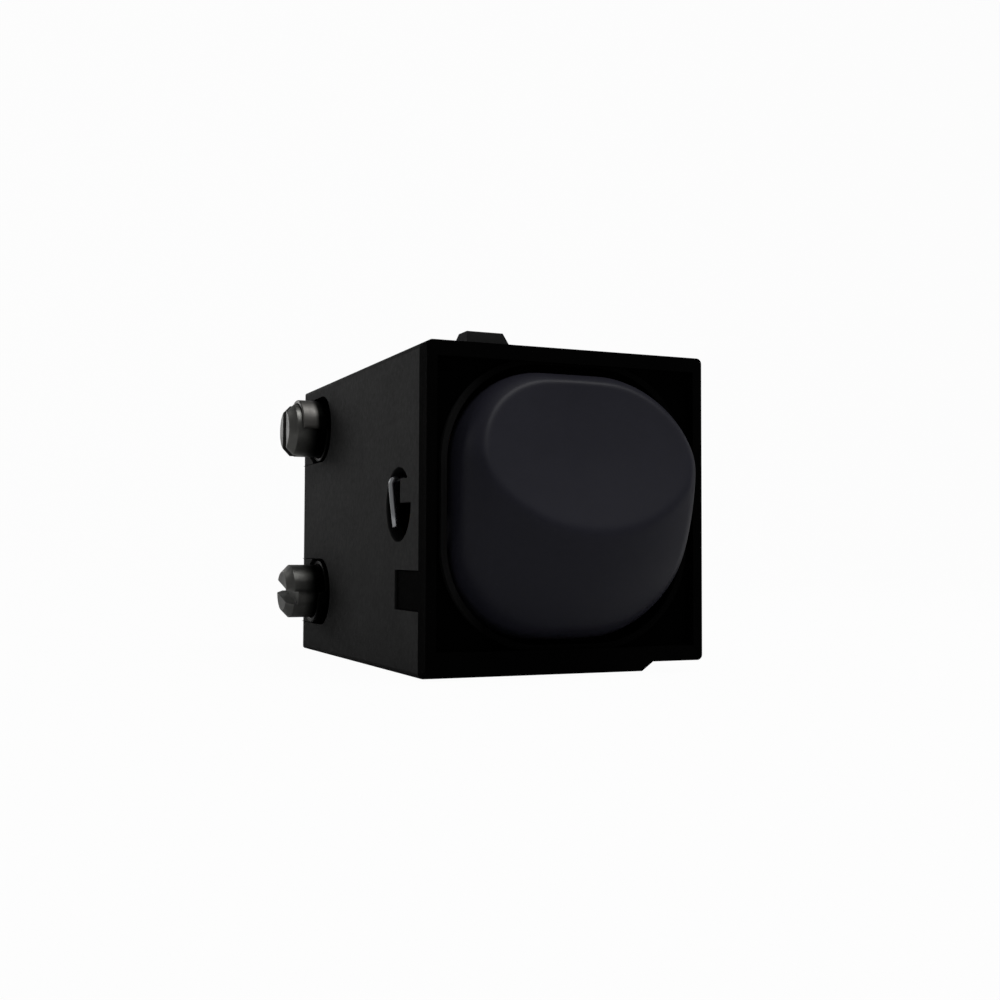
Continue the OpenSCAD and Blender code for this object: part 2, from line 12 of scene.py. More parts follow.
import bpy
import numpy as np
from mathutils import Matrix, Vector


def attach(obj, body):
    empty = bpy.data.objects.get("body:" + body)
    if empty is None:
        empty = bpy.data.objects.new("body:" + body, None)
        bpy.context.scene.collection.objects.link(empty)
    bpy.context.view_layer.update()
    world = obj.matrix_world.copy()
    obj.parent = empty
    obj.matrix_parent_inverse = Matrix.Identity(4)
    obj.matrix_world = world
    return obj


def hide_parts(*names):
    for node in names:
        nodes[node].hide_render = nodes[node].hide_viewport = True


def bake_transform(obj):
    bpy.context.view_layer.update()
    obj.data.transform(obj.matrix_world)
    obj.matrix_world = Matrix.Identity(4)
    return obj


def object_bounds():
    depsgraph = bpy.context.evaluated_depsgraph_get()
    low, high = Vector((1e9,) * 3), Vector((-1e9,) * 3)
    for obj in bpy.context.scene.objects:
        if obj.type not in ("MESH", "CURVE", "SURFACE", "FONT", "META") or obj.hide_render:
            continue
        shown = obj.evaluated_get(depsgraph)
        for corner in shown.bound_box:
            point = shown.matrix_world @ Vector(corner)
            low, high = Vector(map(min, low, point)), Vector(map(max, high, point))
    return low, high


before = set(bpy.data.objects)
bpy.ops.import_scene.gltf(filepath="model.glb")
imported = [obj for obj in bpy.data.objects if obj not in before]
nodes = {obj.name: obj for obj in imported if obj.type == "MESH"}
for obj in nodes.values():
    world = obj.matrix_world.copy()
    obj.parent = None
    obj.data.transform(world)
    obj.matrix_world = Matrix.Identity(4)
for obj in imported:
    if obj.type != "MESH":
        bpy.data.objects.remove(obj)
cad_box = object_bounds()

# %% [markdown]
# ## Units and small helpers
#
# The frame is in metres, and a switch is easier to think of in millimetres, so one
# constant turns one into the other. Colours are written as hex values, the way a paint
# program shows them, and one function turns them into the linear light that shaders use.

# %% Millimetres and colours
MM = 0.001


def linear(hex_colour, alpha=1.0):
    """The linear colour of an sRGB hex value such as '#262626'."""
    parts = [int(hex_colour[i : i + 2], 16) / 255 for i in (1, 3, 5)]
    curve = [c / 12.92 if c <= 0.04045 else ((c + 0.055) / 1.055) ** 2.4 for c in parts]
    return (*curve, alpha)


print("mid grey is", [round(c, 3) for c in linear("#808080")])

# %% [markdown]
# A material is a graph of nodes. One small function adds a node, sets what it is told
# and joins what it is told, so that each material below reads like a recipe.


# %% Add one node
def add(tree, kind, settings=None, **sockets):
    """Adds a node. Sockets go by name, or by _ and number, and take a value or an output."""
    node = tree.nodes.new(kind)
    for name, value in (settings or {}).items():
        setattr(node, name, value)
    for name, value in sockets.items():
        socket = node.inputs[int(name[1:]) if name[0] == "_" else name.replace("_", " ")]
        if isinstance(value, bpy.types.NodeSocket):
            tree.links.new(value, socket)
        else:
            socket.default_value = value
    return node


def start_material(name):
    """An empty node material, its tree and the object's own coordinates in metres."""
    material = bpy.data.materials.new(name)
    material.use_nodes = True
    material.node_tree.nodes.clear()
    tree = material.node_tree
    place = add(tree, "ShaderNodeTexCoord").outputs["Object"]
    return material, tree, place


def finish_material(tree, shader):
    """Joins the shader to the material's output."""
    add(tree, "ShaderNodeOutputMaterial", Surface=shader.outputs[0])


print("helpers for any node, a graph's start and its end")

# %% [markdown]
# ## Moulded plastics
#
# The case of such a module is glass-filled polyamide, a nylon that takes heat and screws
# well. Its mould is spark-eroded, which gives the eye an even matte face. The real grain
# is too fine to show in the render, so it is drawn as coarse as about a third of a
# millimetre. Colour varies slightly: a little paler where the surface was rubbed, a
# little darker where it was not.


# %% Scale of a pattern
def scale_for(size_mm):
    """A noise texture's scale that gives features of about this size in millimetres."""
    return 1.0 / (size_mm * MM)


print("scale of a 0.35 mm grain:", round(scale_for(0.35)))


# %% [markdown]
# A tone also changes from place to place on one piece, and here that paints light and
# shade. Deep faces are painted darker as shade, and the wall beside a terminal carries a
# painted shadow. Each mask below says where, as a number from 0 to 1: outside a box,
# away from a spot, or along one axis.


# %% Distance outside a box
def outside_box(tree, place, half_sizes_mm, fade_mm):
    """From 0 within a box round the origin to 1 outside it, over a short fade."""
    far = add(tree, "ShaderNodeVectorMath", {"operation": "ABSOLUTE"}, _0=place)
    size = [v * MM for v in half_sizes_mm]
    past = add(
        tree, "ShaderNodeVectorMath", {"operation": "SUBTRACT"}, _0=far.outputs[0], _1=size
    )
    x, y, z = add(tree, "ShaderNodeSeparateXYZ", Vector=past.outputs[0]).outputs
    most = add(tree, "ShaderNodeMath", {"operation": "MAXIMUM"}, _0=x, _1=y).outputs[0]
    most = add(tree, "ShaderNodeMath", {"operation": "MAXIMUM"}, _0=most, _1=z).outputs[0]
    fade = add(tree, "ShaderNodeMapRange", Value=most, From_Min=0.0, From_Max=fade_mm * MM)
    return fade.outputs["Result"]


print("first mask: outside a box")


# %% Distance from a spot and along an axis
def away_from(tree, place, spot_mm, stretch, near_mm, far_mm):
    """From 0 near a spot, or any of its mirror images, to 1 far from it."""
    mirrored = add(tree, "ShaderNodeVectorMath", {"operation": "ABSOLUTE"}, _0=place)
    spot = [v * MM for v in spot_mm]
    away = add(
        tree, "ShaderNodeVectorMath", {"operation": "SUBTRACT"}, _0=mirrored.outputs[0], _1=spot
    )
    shaped = add(
        tree, "ShaderNodeVectorMath", {"operation": "DIVIDE"}, _0=away.outputs[0], _1=stretch
    )
    distance = add(tree, "ShaderNodeVectorMath", {"operation": "LENGTH"}, _0=shaped.outputs[0])
    fade = add(
        tree, "ShaderNodeMapRange", {"interpolation_type": "SMOOTHSTEP"},
        Value=distance.outputs["Value"], From_Min=near_mm * MM, From_Max=far_mm * MM,
    )
    return fade.outputs["Result"]


def along(tree, place, axis, start_mm, end_mm):
    """From 0 before start to 1 after end, along one axis."""
    axes = add(tree, "ShaderNodeSeparateXYZ", Vector=place)
    start, end = start_mm * MM, end_mm * MM
    fade = add(
        tree, "ShaderNodeMapRange", Value=axes.outputs[axis], From_Min=start, From_Max=end
    )
    return fade.outputs["Result"]


print("more masks: away from a spot, along an axis")


# %% Spark-eroded plastic
PLASTIC_IOR = 1.5
MOTTLE_MM = 4.5
GLOSS_SPREAD = 0.06


def moulded_plastic(name, dark, pale, roughness, grain_mm, bump_mm, specular=0.35, zones=()):
    """A moulded plastic: fine erosion grain, faint mottling and a slightly uneven gloss."""
    material, tree, place = start_material(name)
    grain = add(
        tree, "ShaderNodeTexNoise", Vector=place,
        Scale=scale_for(grain_mm), Detail=3.0, Roughness=0.6,
    )
    mottle = add(
        tree, "ShaderNodeTexNoise", Vector=place,
        Scale=scale_for(MOTTLE_MM), Detail=4.0, Roughness=0.55,
    )
    blend = add(
        tree, "ShaderNodeMapRange", Value=mottle.outputs["Fac"],
        From_Min=0.3, From_Max=0.7, To_Min=0.0, To_Max=1.0,
    )
    colour = add(
        tree, "ShaderNodeMix", {"data_type": "RGBA"},
        Factor=blend.outputs["Result"], A=linear(dark), B=linear(pale),
    ).outputs["Result"]
    # Each zone mixes in another tone; on the case and the frame these are painted shade, shadow and
    # highlight.
    for mask, tone in zones:
        colour = add(
            tree, "ShaderNodeMix", {"data_type": "RGBA"},
            Factor=mask(tree, place), A=linear(tone), B=colour,
        ).outputs["Result"]
    gloss = add(
        tree, "ShaderNodeMapRange", Value=grain.outputs["Fac"], From_Min=0.25, From_Max=0.75,
        To_Min=roughness - GLOSS_SPREAD, To_Max=roughness + GLOSS_SPREAD,
    )
    bump = add(
        tree, "ShaderNodeBump", Height=grain.outputs["Fac"], Strength=0.5, Distance=bump_mm * MM
    )
    shader = add(
        tree, "ShaderNodeBsdfPrincipled", Base_Color=colour, Roughness=gloss.outputs["Result"],
        Normal=bump.outputs["Normal"], IOR=PLASTIC_IOR, Specular_IOR_Level=specular,
    )
    finish_material(tree, shader)
    return material


print("plastics mottle over", MOTTLE_MM, "mm")

# %% [markdown]
# The four plastics differ to the eye. Polyamide is a dark grey with a dry face. The
# frame's ABS is blacker and finer, and hardly shines. Phenolic is a hard brown with a
# soft gloss, and natural acetal is milky and slippery. On the case and the frame, the
# masks pick the zones where shade, a shadow or a highlight is painted into the tone.

# %% Painted shade, shadow and highlight on the case and the frame
WALL_OUT = 10.7
FACES_BOX, FACES_FADE = (10.5, 32.0, 10.8), 0.15
TERMINAL_SPOT, TERMINAL_STRETCH = (WALL_OUT, 27.4, 6.7), (1.0, 2.5, 1.0)
TERMINAL_NEAR, TERMINAL_FAR = 1.7, 5.4
LIP_BOX, LIP_FADE = (9.6, 0.72, 9.9), 0.04
LIP_LEFT_END, LIP_FADE_END = -8.6, -6.4
TRAY_FROM, TRAY_TO = 0.45, 0.7


def outside_painted_recess_shade(tree, place):
    """1 on the case's open faces, 0 in its pockets and holes, where shade is painted."""
    return outside_box(tree, place, FACES_BOX, FACES_FADE)


def outside_painted_terminal_shadow(tree, place):
    """0 on the wall beside a terminal, where its shadow is painted, 1 a few millimetres away, or
    2.5 times that along Y.
    """
    return away_from(tree, place, TERMINAL_SPOT, TERMINAL_STRETCH, TERMINAL_NEAR, TERMINAL_FAR)


def outside_painted_lip_highlight(tree, place):
    """0 on the left side of the lip, where a thin grey highlight is painted."""
    ring = outside_box(tree, place, LIP_BOX, LIP_FADE)
    side = along(tree, place, "X", LIP_LEFT_END, LIP_FADE_END)
    return add(tree, "ShaderNodeMath", {"operation": "MAXIMUM"}, _0=ring, _1=side).outputs[0]


def outside_painted_tray_shade(tree, place):
    """1 on the frame's rim, 0 in the tray behind it, where shade is painted."""
    behind = along(tree, place, "Y", TRAY_FROM, TRAY_TO)
    return add(tree, "ShaderNodeMath", {"operation": "SUBTRACT"}, _0=1.0, _1=behind).outputs[0]


# The case's tone is painted darker as shade in its pockets and holes, and as a shadow on the wall
# beside each terminal.
case_polyamide = moulded_plastic(
    "spark_eroded_polyamide", "#1f1f1f", "#262626", 0.7, 0.35, 0.03, specular=0.15,
    zones=[(outside_painted_terminal_shadow, "#060606"), (outside_painted_recess_shade, "#060606")],
)
# The frame's tray is painted darker as shade, and the left side of its lip carries a painted
# highlight.
frame_abs = moulded_plastic(
    "fine_matte_abs", "#030303", "#050505", 0.7, 0.25, 0.015, specular=0.01,
    zones=[(outside_painted_tray_shade, "#010101"), (outside_painted_lip_highlight, "#1a1a1a")],
)
base_phenolic = moulded_plastic("phenolic_moulding", "#2c2723", "#3f3832", 0.45, 0.5, 0.02)
plunger_acetal = moulded_plastic("natural_acetal", "#d9d5c9", "#e3e0d6", 0.35, 0.6, 0.008)
print("plastics:", case_polyamide.name, frame_abs.name, base_phenolic.name, plunger_acetal.name)

# %% [markdown]
# The button is the one piece that fingers touch, so its mould is polished finer. The
# polycarbonate has a cold, bluish dark grey and a satin sheen, with soft grease marks
# that vary its gloss over several millimetres.


# %% Satin polycarbonate
POLYCARBONATE_IOR = 1.58
GREASE_MM, POLISH_MM, POLISH_DEPTH = 6.0, 0.22, 0.006


def satin_polycarbonate(name, dark, pale):
    """The button's plastic: smooth, bluish, with a gloss that wanders slightly."""
    material, tree, place = start_material(name)
    handling = add(
        tree, "ShaderNodeTexNoise", Vector=place,
        Scale=scale_for(GREASE_MM), Detail=5.0, Roughness=0.6,
    )
    grain = add(tree, "ShaderNodeTexNoise", Vector=place, Scale=scale_for(POLISH_MM), Detail=2.0)
    colour = add(
        tree, "ShaderNodeMix", {"data_type": "RGBA"},
        Factor=handling.outputs["Fac"], A=linear(dark), B=linear(pale),
    )
    gloss = add(
        tree, "ShaderNodeMapRange", Value=handling.outputs["Fac"],
        From_Min=0.3, From_Max=0.7, To_Min=0.4, To_Max=0.48,
    )
    bump = add(
        tree, "ShaderNodeBump", Height=grain.outputs["Fac"],
        Strength=0.25, Distance=POLISH_DEPTH * MM,
    )
    shader = add(
        tree, "ShaderNodeBsdfPrincipled", Base_Color=colour.outputs["Result"],
        Roughness=gloss.outputs["Result"], Normal=bump.outputs["Normal"],
        IOR=POLYCARBONATE_IOR, Specular_IOR_Level=0.12,
    )
    finish_material(tree, shader)
    return material


button_polycarbonate = satin_polycarbonate("satin_polycarbonate", "#1e1e26", "#23232c")
print("button plastic:", button_polycarbonate.name)

# %% [markdown]
# ## Metals
#
# The terminals are nickel plated brass and the screws zinc plated steel. Plating shows
# two things at this size: fine lines left by the lathe, running round each piece's axis,
# and a cloudy dulling of a millimetre or two. The lines are stretched noise: a texture
# squeezed along the axis of turning reads as rings. A lathe's lines are finer than this,
# and they are drawn as coarse as they need to be to show. Near the wall, a terminal's
# root is painted dark as shade. Ground steel gives the eye a bright, even gloss, drawn
# wire a paler one, rolled bronze a warm one and silver the whitest of all.


# %% Plated, turned metal
LINE_LENGTH_MM, CLOUD_MM = 6.0, 1.6
# The root's tone is painted shade: near the wall a terminal is drawn nearly black.
ROOT_SHADE_TONE, BEYOND = "#0a0a09", 100


def turned_metal(name, dull, bright, roughness, line_mm, bump_mm, axis="X", root_shade=None):
    """A turned metal with rings across an axis. Near the wall, within (x, fade) in mm, it is
    painted dark as shade.
    """
    material, tree, place = start_material(name)
    squeeze = [scale_for(line_mm if letter == axis else LINE_LENGTH_MM) for letter in "XYZ"]
    turned = add(tree, "ShaderNodeMapping", Vector=place, Scale=squeeze).outputs["Vector"]
    rings = add(tree, "ShaderNodeTexNoise", Vector=turned, Scale=1.0, Detail=3.0)
    cloud = add(
        tree, "ShaderNodeTexNoise", Vector=place,
        Scale=scale_for(CLOUD_MM), Detail=4.0, Roughness=0.6,
    )
    colour = add(
        tree, "ShaderNodeMix", {"data_type": "RGBA"},
        Factor=cloud.outputs["Fac"], A=linear(dull), B=linear(bright),
    ).outputs["Result"]
    # Painted shade: within x of the middle, the metal fades to a nearly black tone.
    if root_shade:
        past_root_shade = outside_box(tree, place, (root_shade[0], BEYOND, BEYOND), root_shade[1])
        colour = add(
            tree, "ShaderNodeMix", {"data_type": "RGBA"},
            Factor=past_root_shade, A=linear(ROOT_SHADE_TONE), B=colour,
        ).outputs["Result"]
    gloss = add(
        tree, "ShaderNodeMapRange", Value=cloud.outputs["Fac"],
        From_Min=0.3, From_Max=0.7, To_Min=roughness + 0.08, To_Max=roughness - 0.06,
    )
    bump = add(
        tree, "ShaderNodeBump", Height=rings.outputs["Fac"], Strength=0.4, Distance=bump_mm * MM
    )
    shader = add(
        tree, "ShaderNodeBsdfPrincipled", Base_Color=colour, Metallic=1.0,
        Roughness=gloss.outputs["Result"], Normal=bump.outputs["Normal"],
    )
    finish_material(tree, shader)
    return material


# The barrels and screws carry painted shade at their roots by the wall.
nickel_barrel = turned_metal(
    "dull_nickel_plate", "#555452", "#777572", 0.42, 0.12, 0.01, root_shade=(11.0, 0.35)
)
zinc_screw = turned_metal(
    "zinc_plated_steel", "#535351", "#757572", 0.38, 0.12, 0.012, root_shade=(11.1, 0.9)
)
bright_steel = turned_metal("ground_bright_steel", "#9c9ea1", "#c3c5c8", 0.22, 0.1, 0.004)
spring_wire_steel = turned_metal("drawn_spring_steel", "#9fa1a4", "#d2d4d6", 0.3, 0.15, 0.003)
contact_bronze = turned_metal(
    "rolled_phosphor_bronze", "#9a6b3c", "#c99a63", 0.3, 0.2, 0.004, axis="Z"
)
contact_silver = turned_metal("fine_silver", "#b9b9b8", "#e4e4e2", 0.24, 0.2, 0.004, axis="Y")
print("metals:", nickel_barrel.name, zinc_screw.name, bright_steel.name, contact_bronze.name)

# %% [markdown]
# ## Dressing the CAD pieces
#
# Most pieces keep their CAD mesh. A CAD edge is perfectly sharp, which no moulding is:
# its edge is rounded by a few hundredths to about a tenth of a millimetre, and that narrow
# round is what catches light and lets the eye read the shape. Three modifiers give it
# without touching the mesh: the first joins doubled points, the second merges the flat
# triangles, and the third rounds what is left.


# %% Dress a CAD node
SAME_POINT_MM = 0.0005
FLAT_ANGLE, EDGE_ANGLE = math.radians(0.5), math.radians(35)
ROUND_SEGMENTS = 2


def dress(name, material, round_mm):
    """Gives a CAD node its material and rounds its sharp edges."""
    piece = nodes[name]
    piece.data.materials.clear()
    piece.data.materials.append(material)
    weld = piece.modifiers.new("join_points", "WELD")
    weld.merge_threshold = SAME_POINT_MM * MM
    flat = piece.modifiers.new("merge_flats", "DECIMATE")
    flat.decimate_type = "DISSOLVE"
    flat.angle_limit = FLAT_ANGLE
    edge = piece.modifiers.new("round_edges", "BEVEL")
    edge.width = round_mm * MM
    edge.segments = ROUND_SEGMENTS
    edge.limit_method = "ANGLE"
    edge.angle_limit = EDGE_ANGLE
    edge.harden_normals = True


finishes = {
    "housing": (case_polyamide, 0.06),
    "rear_cover": (case_polyamide, 0.03),
    "front_frame": (frame_abs, 0.1),
    "contact_base": (base_phenolic, 0.1),
    "plunger": (plunger_acetal, 0.08),
    "pivot_pin": (bright_steel, 0.1),
    "rocker_contact": (contact_bronze, 0.05),
    "common_bracket": (contact_bronze, 0.05),
    "upper_contact": (contact_bronze, 0.05),
    "lower_contact": (contact_bronze, 0.05),
    "upper_moving_tip": (contact_silver, 0.08),
    "lower_moving_tip": (contact_silver, 0.08),
    "upper_tip": (contact_silver, 0.08),
    "lower_tip": (contact_silver, 0.08),
}
corners = ["top_left", "top_right", "bottom_left", "bottom_right"]
finishes.update({f"barrel_{c}": (nickel_barrel, 0.12) for c in corners})
finishes.update({f"screw_{c}": (zinc_screw, 0.1) for c in corners})
for name, (material, round_mm) in finishes.items():
    dress(name, material, round_mm)
print("dressed", len(finishes), "CAD nodes")

# %% [markdown]
# ## The button
#
# The button is what the eye goes to: a rounded square seen from the front, low and
# gently curved seen from the side, with a thumb scoop sunk into its upper half. Its
# mesh could come from booleans, but those leave slivers that spoil a highlight. Instead
# the shape is described by distances: each form gives how far a point is outside it,
# and a smooth maximum joins the forms with a soft edge. Rays from a point inside then
# find where the distance is zero, which gives an even mesh with no slivers.

# %% The button's measures
PIVOT = Vector((0.0, 4.6, 0.1))
REST_TILT = math.radians(3.5)
BUTTON_W, BUTTON_H = 17.6, 18.76
CORNER, EDGE, SKIN = 6.6, 1.6, 1.4
CREASE, SCOOP_EDGE = 0.3, 0.15
UPPER_MIDDLE, UPPER_RADII = np.array([0, 4.2, -6.9]), np.array([36.0, 14.0, 22.4])
LOWER_MIDDLE, LOWER_R = np.array([0, 7.4, 2.95]), 17.45
SCOOP_R, SCOOP_FLOOR, SCOOP_UP = 60.0, 7.98, math.radians(21.6)
WALL_BACK = 3.1
SCOOP_MIDDLE = (SCOOP_FLOOR + SCOOP_R) * np.array([0, -math.cos(SCOOP_UP), math.sin(SCOOP_UP)])
print("middle of the scoop's ball (mm from the pivot):", np.round(SCOOP_MIDDLE, 2))


# %% Distances
def smooth_max(a, b, k):
    """The larger of two distances, with a round of about k where they are close."""
    h = np.clip(0.5 + 0.5 * (a - b) / k, 0, 1)
    return b + (a - b) * h + k * h * (1 - h)


def column(p, w, h, corner):
    """Distance outside a rounded square column along Y."""
    qx = np.abs(p[:, 0]) - (w / 2 - corner)
    qz = np.abs(p[:, 2]) - (h / 2 - corner)
    outside = np.hypot(np.maximum(qx, 0), np.maximum(qz, 0))
    return outside + np.minimum(np.maximum(qx, qz), 0) - corner


def ellipsoid(p, middle, radii):
    """Distance outside an ellipsoid, close to true near its surface."""
    first = np.linalg.norm((p - middle) / radii, axis=1)
    second = np.linalg.norm((p - middle) / radii**2, axis=1)
    return first * (first - 1) / second


def cap_distance(p):
    """Distance outside the button's cap, in the button's own frame."""
    side = column(p, BUTTON_W - 2 * EDGE, BUTTON_H - 2 * EDGE, CORNER - EDGE)
    upper = ellipsoid(p, UPPER_MIDDLE, UPPER_RADII - EDGE)
    lower = np.linalg.norm(p - LOWER_MIDDLE, axis=1) - (LOWER_R - EDGE)
    front = smooth_max(upper, lower, CREASE)
    outside = np.hypot(np.maximum(side, 0), np.maximum(front, 0))
    both = outside + np.minimum(np.maximum(side, front), 0)
    scoop = SCOOP_R - np.linalg.norm(p - SCOOP_MIDDLE, axis=1)
    return smooth_max(both - EDGE, scoop, SCOOP_EDGE)


print("the pivot is", round(-cap_distance(np.zeros((1, 3)))[0], 2), "mm inside the cap's forms")

# %% [markdown]
# The rays start at the middle of the cap's open back and go out through the points of
# half a finely divided cube, so the mesh is made of even four-sided faces. The same rays
# are used twice: once for the outside, and once for the inside, one wall thickness
# further in. A ring of faces round the back joins the two into one closed shell.


# %% Half a cube of rays
TINY = 1e-9
FLATTEN = np.array([1.0, 0.5, 1.0])


def front_rays(n):
    """Directions through the front half of a cube, flattened and divided n times, and faces."""
    index, points, faces = {}, [], []
    t = np.tan(np.linspace(-math.pi / 4, math.pi / 4, n + 1))

    def point(p):
        key = tuple(np.round(p, 9))
        if key not in index:
            index[key] = len(points)
            points.append(p)
        return index[key]

    for axis, side in ((0, -1), (0, 1), (2, -1), (2, 1), (1, -1)):
        a, b = [i for i in range(3) if i != axis]
        for i in range(n):
            for j in range(n):
                face = []
                for u, v in ((i, j), (i + 1, j), (i + 1, j + 1), (i, j + 1)):
                    p = np.zeros(3)
                    p[axis], p[a], p[b] = side, t[u], t[v]
                    face.append(p)
                if max(p[1] for p in face) > TINY:
                    continue
                if (side < 0) != (axis == 1):
                    face.reverse()
                faces.append([point(p) for p in face])
    rays = np.array(points) * FLATTEN
    return rays / np.linalg.norm(rays, axis=1)[:, None], faces


DIVISIONS = 96
rays, ray_faces = front_rays(DIVISIONS)
print("rays:", len(rays))


# %% The cap's two skins
REACH, HALVINGS = 30.0, 44


def surface_along(rays, distance, start):
    """Where each ray from the start leaves the shape: a bracket halved until it is closed."""
    near, far = np.zeros(len(rays)), np.full(len(rays), REACH)
    for _ in range(HALVINGS):
        middle = (near + far) / 2
        inside = distance(start + rays * middle[:, None]) < 0
        near, far = np.where(inside, middle, near), np.where(inside, far, middle)
    return start + rays * near[:, None]


back_middle = np.array([0.0, -WALL_BACK, 0.0])
outside = surface_along(rays, cap_distance, back_middle)
inside = surface_along(rays, lambda p: cap_distance(p) + SKIN, back_middle)
count = len(rays)
edges = {}
for face in ray_faces:
    for a, b in zip(face, face[1:] + face[:1]):
        edges[(a, b)] = (b, a) not in edges or edges.pop((b, a)) is None
rim = [edge for edge in edges if edges[edge]]
cap_faces = [list(f) for f in ray_faces]
cap_faces += [[count + i for i in reversed(f)] for f in ray_faces]
cap_faces += [[b, a, count + a, count + b] for a, b in rim]
front_reach = round(outside[:, 1].min(), 2)
print("cap faces:", len(cap_faces), "front reaches", front_reach, "mm from the pivot")


# %% Mesh from points
def to_object(name, points_mm, faces, smooth=True):
    """A mesh object from points in millimetres in the row frame."""
    mesh = bpy.data.meshes.new(name)
    mesh.from_pydata([tuple(p * MM) for p in np.asarray(points_mm, float)], [], faces)
    mesh.update()
    if smooth:
        mesh.polygons.foreach_set("use_smooth", [True] * len(mesh.polygons))
    piece = bpy.data.objects.new(name, mesh)
    bpy.context.scene.collection.objects.link(piece)
    return piece


def on_button(points):
    """Points of the button's own frame, tilted to its rest and put at the pivot."""
    c, s = math.cos(REST_TILT), math.sin(REST_TILT)
    turn = np.array([[1, 0, 0], [0, c, -s], [0, s, c]])
    return np.asarray(points) @ turn.T + np.array(PIVOT)


button = to_object("button_moulding", on_button(np.vstack([outside, inside])), cap_faces)
print("cap made of", len(button.data.polygons), "faces")

# %% [markdown]
# Behind the cap stand two ears, which hold the pin, and a stem, which guides the
# plunger. They are plain forms that no highlight runs over, so here booleans do well.
# The stem's front end follows the middle of the scoop's wall, so that it is fused all
# round and comes through nowhere.


# %% Ears and stem
STEM_R, STEM_L, BORE_R, BORE_FROM, PIN_R = 2.6, 9.1, 1.65, 1.6, 0.6
STEM_FRONT, CHAMFER, LATHE_SIDES = -1.0, 0.1, 64
EAR_R, EAR_IN, EAR_OUT, EAR_ROOT = 1.7, 7.5, 8.7, 0.6


def lathe(profile):
    """Points and faces of a profile of (y, radius) turned round the Y axis."""
    sides = LATHE_SIDES
    turn = np.linspace(0, 2 * math.pi, sides, endpoint=False)
    points = [(r * math.cos(a), y, r * math.sin(a)) for y, r in profile for a in turn]
    faces = [list(range(sides))]
    for i in range(len(profile) - 1):
        for k in range(sides):
            m = (k + 1) % sides
            faces.append([i * sides + m, i * sides + k, (i + 1) * sides + k, (i + 1) * sides + m])
    faces.append([(len(profile) - 1) * sides + k for k in reversed(range(sides))])
    return np.array(points), faces


def prism(outline, x0, x1):
    """Points and faces of a (y, z) outline stretched along X."""
    count = len(outline)
    points = [(x, y, z) for x in (x0, x1) for y, z in outline]
    faces = [list(range(count)), [count + k for k in reversed(range(count))]]
    for k in range(count):
        m = (k + 1) % count
        faces.append([m, k, count + k, count + m])
    return np.array(points), faces


stem_points, stem_faces = lathe([
    (STEM_FRONT, STEM_R), (STEM_L - CHAMFER, STEM_R), (STEM_L, STEM_R - CHAMFER),
    (STEM_L, BORE_R + CHAMFER), (STEM_L - CHAMFER, BORE_R), (BORE_FROM, BORE_R),
])
ring = stem_points[:LATHE_SIDES]
from_middle = np.hypot(ring[:, 0], ring[:, 2] - SCOOP_MIDDLE[2])
ring[:, 1] = SCOOP_MIDDLE[1] + np.sqrt((SCOOP_R + SKIN / 2) ** 2 - from_middle**2)
arc = np.radians(np.linspace(90, -90, 25))
ear_outline = [(EAR_R * math.cos(a), EAR_R * math.sin(a)) for a in arc]
ear_outline += [(-WALL_BACK - EAR_ROOT, -2 * EAR_R), (-WALL_BACK - EAR_ROOT, 2 * EAR_R)]
arc = np.radians(np.arange(0, 360, 10))
pin_outline = [(PIN_R * math.cos(a), PIN_R * math.sin(a)) for a in arc]
print("stem front end from", round(ring[:, 1].min(), 2), "to", round(ring[:, 1].max(), 2), "mm")


# %% Join them to the cap
def joined(piece, shape, operation):
    """Adds or cuts a shape, given as points and faces in the button's frame."""
    points, faces = shape
    tool = to_object("tool", on_button(points), faces, smooth=False)
    step = piece.modifiers.new("join", "BOOLEAN")
    step.operation, step.solver, step.object = operation, "EXACT", tool
    bpy.context.view_layer.update()
    finished = piece.evaluated_get(bpy.context.evaluated_depsgraph_get())
    result = bpy.data.meshes.new_from_object(finished)
    piece.modifiers.clear()
    piece.data = result
    bpy.data.objects.remove(tool)


joined(button, (stem_points, stem_faces), "UNION")
joined(button, prism(ear_outline, -EAR_OUT, -EAR_IN), "UNION")
joined(button, prism(ear_outline, EAR_IN, EAR_OUT), "UNION")
joined(button, prism(pin_outline, -BUTTON_W, BUTTON_W), "DIFFERENCE")
button.data.materials.clear()
button.data.materials.append(button_polycarbonate)
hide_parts("button")
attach(button, "button")
print("button faces:", len(button.data.polygons))

# %% [markdown]
# ## Springs
#
# A spring is wire, and wire is round. The CAD springs have six sides, which is enough
# for their place; here the same paths are swept as smooth tubes, each once in its rest
# place. A spring also joins two bodies. The
# return spring's fixed leg is given point by point, from its hook in the side wall's
# hole to the coil round the pin.


# %% Sweep a round wire
WIRE_SIDES = 14
BEND_STEPS, BEND_SHARE = 6, 0.3


def sweep(name, path, radius):
    """A closed tube of the given radius along a path of points."""
    sides = WIRE_SIDES
    path = np.asarray(path, float)
    tangents = np.gradient(path, axis=0)
    tangents /= np.linalg.norm(tangents, axis=1)[:, None]
    normal = np.cross(tangents[0], [0.31, 0.52, 0.79])
    points, faces = [], []
    turn = np.linspace(0, 2 * math.pi, sides, endpoint=False)
    for centre, along in zip(path, tangents):
        normal = normal - along * (normal @ along)
        normal /= np.linalg.norm(normal)
        across = np.cross(along, normal)
        points.extend(centre + radius * (math.cos(a) * normal + math.sin(a) * across) for a in turn)
    for i in range(len(path) - 1):
        for k in range(sides):
            m = (k + 1) % sides
            faces.append([i * sides + k, i * sides + m, (i + 1) * sides + m, (i + 1) * sides + k])
    faces.append(list(range(sides))[::-1])
    faces.append([(len(path) - 1) * sides + k for k in range(sides)])
    piece = to_object(name, points, faces)
    piece.data.materials.append(spring_wire_steel)
    return piece


